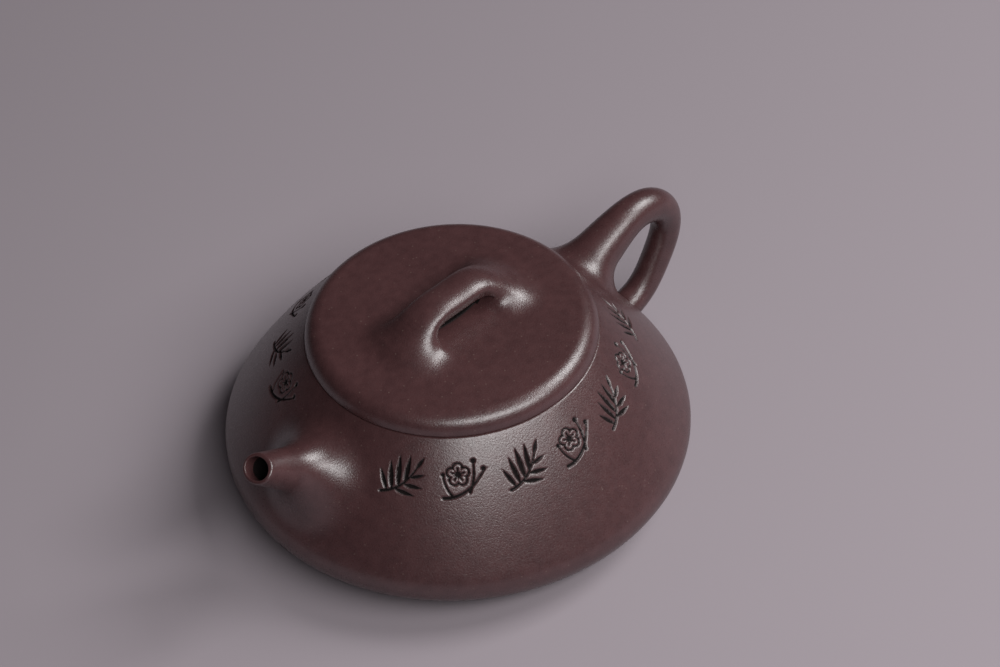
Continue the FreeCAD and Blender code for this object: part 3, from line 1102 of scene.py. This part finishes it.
class TEAPOT_OT_lid(bpy.types.Operator):
    """Builds the lid's plate and the flange under it"""
    bl_idname = "teapot.lid"
    bl_label = "Lid and Flange"

    AROUND = 256
    DOME_STEP, RIM_STEP = 0.35 * MM, 0.2 * MM
    SOFT = 0.35 * MM
    FLANGE_SOFT, FLANGE_SINK, FLANGE_TAPER = 0.9 * MM, 0.2 * MM, 0.4 * MM
    # Shade under the knob's bridge is painted on the lid: a dark patch of this size
    SLOT_SHADE = 12 * MM, 2.1 * MM, 0.5 * MM  # half length, half width and soft edge of the slot under the knob
    FULL_SLOT_SHADE = 0.9                     # mark from which the slot counts as its bottom

    def execute(self, context):
        lid = context.scene.teapot_lid
        form = LidOutline(lid)
        vent_turn = math.acos((lid.vent + self.SOFT) / form.dome_r)
        edge_turn = math.pi / 2 - lid.dome_turn
        low_turn = math.asin((LID_UNDER - form.edge_mid[1]) / lid.edge_round)
        dome = bow(form.dome_mid, form.dome_r, vent_turn, edge_turn, self.DOME_STEP)
        rim = bow(form.edge_mid, lid.edge_round, edge_turn, low_turn, self.RIM_STEP)
        inner_r = FLANGE_R - lid.flange_thick
        deep = LID_UNDER + lid.recess
        under = stepped_line([
            (rim[-1][0] - self.SOFT, LID_UNDER), (inner_r, LID_UNDER),
            (inner_r - lid.recess, deep), (lid.vent, deep), (lid.vent, form.top - self.SOFT)])
        edge = softened(rim[-3], rim[-1], np.array([rim[-1][0] - self.SOFT, LID_UNDER]))
        vent = softened(np.array([lid.vent, form.top - self.SOFT]), np.array([lid.vent, form.top]), dome[0])
        outline = np.vstack((dome, rim[1:-3], edge, under[1:], vent[1:-1]))
        plate = lathe("lid_clay", outline, around=self.AROUND)
        settle(plate, "lid_plate", "lid", *finishes())
        # Paints shade on the lid under the bridge: marked corners go dark, the deepest faces take the dark
        # clay
        marks = self.slot_shade_marks(plate, form.top)
        mark_cut_and_shade(plate, marks)
        for face in plate.data.polygons:
            if face.normal.z < -LEVEL and face.center.z < deep + self.SOFT:
                face.material_index = RAW
            elif marks[list(face.vertices)].min() > self.FULL_SLOT_SHADE:
                face.material_index = CUT_AND_SHADE
        flange_top = LID_UNDER + self.FLANGE_SINK
        flange = lathe("lid_flange_clay", rounded([
            (inner_r, flange_top, 0),
            (inner_r, FLANGE_LOW.z, self.FLANGE_SOFT),
            (FLANGE_R - self.FLANGE_TAPER, FLANGE_LOW.z, self.FLANGE_SOFT),
            (FLANGE_R, flange_top, 0),
        ]))
        settle(flange, "lid_flange", "lid", finishes()[RAW])
        return {"FINISHED"}

    def slot_shade_marks(self, plate, top):
        """How far each corner lies in the slot under the knob, where shade is painted dark on the lid."""
        places = np.empty(len(plate.data.vertices) * 3)
        plate.data.vertices.foreach_get("co", places)
        along, across, height = (places.reshape(-1, 3) - AXIS).T
        length, width, soft = self.SLOT_SHADE
        inside = width * (1 - (along / length) ** 2) - np.abs(across)
        return np.clip(0.5 + inside / soft, 0, 1) * (height > top - self.SOFT)


class KnobForm:
    """The knob's bridge, run softly into the lid. Places are given from the lid's middle and top."""

    ALONG = 33
    MIDDLE, ROOTS = 4 * MM, 11 * MM     # where the blend starts to widen and where it is widest
    LEAST_SLOPE = 1.0                   # keeps the bridge's middle line from a division by zero

    def __init__(self, lid):
        self.rows = smooth_rows(both_halves(KNOB_ROWS), self.ALONG)
        self.blend = lid.knob_blend
        self.form = LidOutline(lid)
        self.origin = AXIS + [0, 0, self.form.top]

    def gap(self, places):
        """Distance from the skin of bridge and lid together."""
        on_lid, normals = self.form.onto(places + self.origin)
        lid = np.sum((places + self.origin - on_lid) * normals, axis=1) + HEM_SINK
        starts, runs = self.rows[:-1, :2], np.diff(self.rows[:, :2], axis=0)
        away = places[:, None, ::2] - starts
        t = np.clip(np.sum(away * runs, axis=2) / np.sum(runs * runs, axis=1), 0, 1)
        away = np.linalg.norm(away - t[..., None] * runs, axis=2)
        nearest = away.argmin(axis=1)
        pick = np.arange(len(places)), nearest
        sizes = self.rows[nearest, 2:] + np.diff(self.rows[:, 2:], axis=0)[nearest] * t[pick][:, None]
        offset = np.column_stack((places[:, 1], away[pick]))
        share = np.linalg.norm(offset / sizes, axis=1)
        slope = np.linalg.norm(offset / sizes ** 2, axis=1)
        bridge = share * (share - 1) / np.maximum(slope, self.LEAST_SLOPE)
        middle, roots = self.blend
        outwards = np.clip((np.abs(places[:, 0]) - self.MIDDLE) / (self.ROOTS - self.MIDDLE), 0, 1)
        blend = middle + (roots - middle) * eased(outwards)
        near = np.clip(1 - np.abs(bridge - lid) / blend, 0, 1)
        return np.minimum(bridge, lid) - near * near * blend / 4


class TEAPOT_OT_knob(bpy.types.Operator):
    """Builds the bridge-shaped knob with its two soft roots on the lid"""
    bl_idname = "teapot.knob"
    bl_label = "Knob"

    ROWS, AROUND = 161, 121
    REACH = 26 * MM, 14.6 * MM      # half length and half width of the patch that holds the knob
    DEEP, FAR = 6 * MM, 30 * MM     # depth of the line that the skin is sought from, and the first distance
    STEPS, STRIDE = 45, 0.9         # of that search
    TUNNEL_ALONG = 41
    # The middle of the opening's roof is painted dark as shade
    TUNNEL_WIDTH, TUNNEL_DARK = 5.6 * MM, 2 * MM    # half widths of the opening and of its dark middle
    TUNNEL_CREASE = math.radians(50)

    def execute(self, context):
        knob = KnobForm(context.scene.teapot_lid)
        piece = self.bridge(knob)
        settle(piece, "lid_knob", "lid", *finishes())
        cut_out(piece, self.tunnel(knob), self.TUNNEL_CREASE)
        return {"FINISHED"}

    def bridge(self, knob):
        """Grid over the skin of bridge and lid, closed from below."""
        low = math.atan2(self.DEEP, self.REACH[1])
        turns = np.linspace(low, math.pi - low, self.AROUND)
        ways = np.column_stack((np.zeros(self.AROUND), np.cos(turns), np.sin(turns)))
        along = np.linspace(-self.REACH[0], self.REACH[0], self.ROWS)
        starts = np.column_stack((along, np.zeros(self.ROWS), np.full(self.ROWS, -self.DEEP)))
        starts, ways = np.repeat(starts, self.AROUND, axis=0), np.tile(ways, (self.ROWS, 1))
        far = np.full(len(starts), self.FAR)
        for _ in range(self.STEPS):
            far -= self.STRIDE * knob.gap(starts + far[:, None] * ways)
        corners = starts + far[:, None] * ways
        numbers = np.arange(len(corners)).reshape(self.ROWS, self.AROUND)
        faces = np.stack((numbers[:-1, :-1], numbers[1:, :-1], numbers[1:, 1:], numbers[:-1, 1:]), axis=-1)
        faces = faces.reshape(-1, 4).tolist()
        edge = np.concatenate((numbers[0, :-1], numbers[:-1, -1], numbers[-1, :0:-1], numbers[:0:-1, 0]))
        below = len(corners) + np.arange(len(edge))
        tip = below[-1] + 1
        faces += between(edge, below)
        faces += [[a, b, tip] for a, b in zip(below, np.roll(below, -1))]
        corners = np.vstack((corners, corners[edge] - [0, 0, ROOT_DEPTH], [0, 0, -2 * ROOT_DEPTH]))
        return new_piece("knob_clay", corners + knob.origin, faces)

    def tunnel(self, knob):
        """The opening under the bridge, to be cut out of it."""
        whole = smooth_rows(both_halves(TUNNEL_ROWS), self.TUNNEL_ALONG)
        x, z = np.vstack((whole[:, [0, 2]], whole[::-1, :2])).T
        sides = []
        for y in (-self.TUNNEL_WIDTH, -self.TUNNEL_DARK, self.TUNNEL_DARK, self.TUNNEL_WIDTH):
            sides.append(np.column_stack((x, np.full(len(x), y), z)) + knob.origin)
        tunnel = skin("tunnel", sides, tips=[side.mean(axis=0) for side in (sides[0], sides[-1])])
        for material in finishes():
            tunnel.data.materials.append(material)
        # Paints shade: the middle of the roof takes the dark clay
        for face in tunnel.data.polygons:
            face.material_index = CUT_AND_SHADE if abs(face.center.y) < self.TUNNEL_DARK else BURNISHED
        return tunnel


# Stage

FLOOR_HALF = 6.0
FLOOR_ROUGH = 0.9
FILM_WIDTH = 36     # millimetres
# Lamps: degrees round the pot from the front and above level, metres from the pot, watts
LAMPS = {
    "front_lamp": {"azimuth": -6, "elevation": 47, "distance": 0.82, "size": (0.86, 0.25), "power": 5.2},
    "side_lamp": {"azimuth": 66.5, "elevation": 45.5, "distance": 1.11, "size": (0.5, 0.5), "power": 7.0},
}
WORLD_LIGHT = 0.08


def direction(azimuth, elevation):
    """Way towards a place round the pot, from the front and above level."""
    level = math.cos(elevation)
    return Vector((math.sin(azimuth) * level, -math.cos(azimuth) * level, math.sin(elevation)))


def area_lamp(name, azimuth, elevation, distance, size, power, aim):
    """A soft lamp that looks at the pot."""
    data = bpy.data.lights.new(name, "AREA")
    data.shape = "RECTANGLE"
    data.size, data.size_y = size
    data.energy = power
    way = direction(math.radians(azimuth), math.radians(elevation))
    lamp = bpy.data.objects.new(name, data)
    lamp.location = Vector(aim) + way * distance
    lamp.rotation_euler = way.to_track_quat("Z", "Y").to_euler()
    bpy.context.scene.collection.objects.link(lamp)


class TEAPOT_OT_stage(bpy.types.Operator):
    """Sets the floor, the soft light and the camera"""
    bl_idname = "teapot.stage"
    bl_label = "Stage"

    def execute(self, context):
        scene = context.scene
        stage = scene.teapot_stage
        belly = WallOutline(scene.teapot_pot).belly_mid[1]
        aim = AXIS + [0, 0, belly]
        self.lay_floor(stage)
        for name, lamp in LAMPS.items():
            area_lamp(name, aim=aim, **lamp)
        world = bpy.data.worlds.new("studio")
        world.use_nodes = True
        light = world.node_tree.nodes["Background"].inputs
        light["Color"].default_value = shade(stage.floor)
        light["Strength"].default_value = WORLD_LIGHT
        scene.world = world
        scene.view_settings.view_transform = "Standard"
        self.set_camera(scene, stage, aim)
        return {"FINISHED"}

    def lay_floor(self, stage):
        """Plain floor that runs out of the picture on all sides."""
        corners = [(x * FLOOR_HALF, y * FLOOR_HALF, 0) for x, y in ((-1, -1), (1, -1), (1, 1), (-1, 1))]
        mesh = bpy.data.meshes.new("floor")
        mesh.from_pydata(corners, [], [(0, 1, 2, 3)])
        floor = bpy.data.objects.new("floor", mesh)
        bpy.context.scene.collection.objects.link(floor)
        material, paint = new_material("floor_paint")
        paint.inputs["Base Color"].default_value = shade(stage.floor)
        paint.inputs["Roughness"].default_value = FLOOR_ROUGH
        mesh.materials.append(material)

    def set_camera(self, scene, stage, aim):
        """Camera that looks down at the pot from the spout's side."""
        back = direction(stage.azimuth, stage.elevation)
        level = Vector((0, 0, 1)).cross(back).normalized()
        right = Matrix.Rotation(stage.roll, 3, back) @ level
        up = back.cross(right)
        data = bpy.data.cameras.new("camera")
        data.sensor_width = FILM_WIDTH
        data.lens = stage.lens
        camera = bpy.data.objects.new("camera", data)
        place = Vector(aim) + back * stage.distance + right * stage.aim[0] + up * stage.aim[1]
        camera.matrix_world = Matrix.Translation(place) @ Matrix((right, up, back)).transposed().to_4x4()
        scene.collection.objects.link(camera)
        scene.camera = camera


class TEAPOT_PT_sidebar(bpy.types.Panel):
    """Lists the pieces of the teapot"""
    bl_idname = "TEAPOT_PT_sidebar"
    bl_label = "Teapot"
    bl_space_type = "VIEW_3D"
    bl_region_type = "UI"
    bl_category = "Teapot"

    def draw(self, context):
        for operator in OPERATORS:
            self.layout.operator(operator.bl_idname)
        for name in SETTINGS:
            group = getattr(context.scene, name)
            box = self.layout.box()
            for row in group.bl_rna.properties:
                if row.identifier not in ("rna_type", "name"):
                    box.prop(group, row.identifier)


SETTINGS = {
    "teapot_pot": PotSizes,
    "teapot_lid": LidSizes,
    "teapot_spout": SpoutSizes,
    "teapot_handle": HandleSizes,
    "teapot_carving": CarvingSizes,
    "teapot_clay": ClayColours,
    "teapot_stage": StageSettings,
}
OPERATORS = (
    TEAPOT_OT_clay,
    TEAPOT_OT_wall,
    TEAPOT_OT_base,
    TEAPOT_OT_mouth_ring,
    TEAPOT_OT_spout,
    TEAPOT_OT_handle,
    TEAPOT_OT_lid,
    TEAPOT_OT_knob,
    TEAPOT_OT_stage,
)


def register():
    for group in SETTINGS.values():
        bpy.utils.register_class(group)
    for name, group in SETTINGS.items():
        setattr(bpy.types.Scene, name, PointerProperty(type=group))
    for operator in OPERATORS:
        bpy.utils.register_class(operator)
    bpy.utils.register_class(TEAPOT_PT_sidebar)


def unregister():
    bpy.utils.unregister_class(TEAPOT_PT_sidebar)
    for operator in reversed(OPERATORS):
        bpy.utils.unregister_class(operator)
    for name in SETTINGS:
        delattr(bpy.types.Scene, name)
    for group in SETTINGS.values():
        bpy.utils.unregister_class(group)


def main():
    register()
    bpy.ops.teapot.clay()
    bpy.ops.teapot.wall()
    bpy.ops.teapot.base()
    bpy.ops.teapot.mouth_ring()
    bpy.ops.teapot.spout()
    bpy.ops.teapot.handle()
    bpy.ops.teapot.lid()
    bpy.ops.teapot.knob()
    bpy.ops.teapot.stage()


if __name__ == "__main__":
    main()
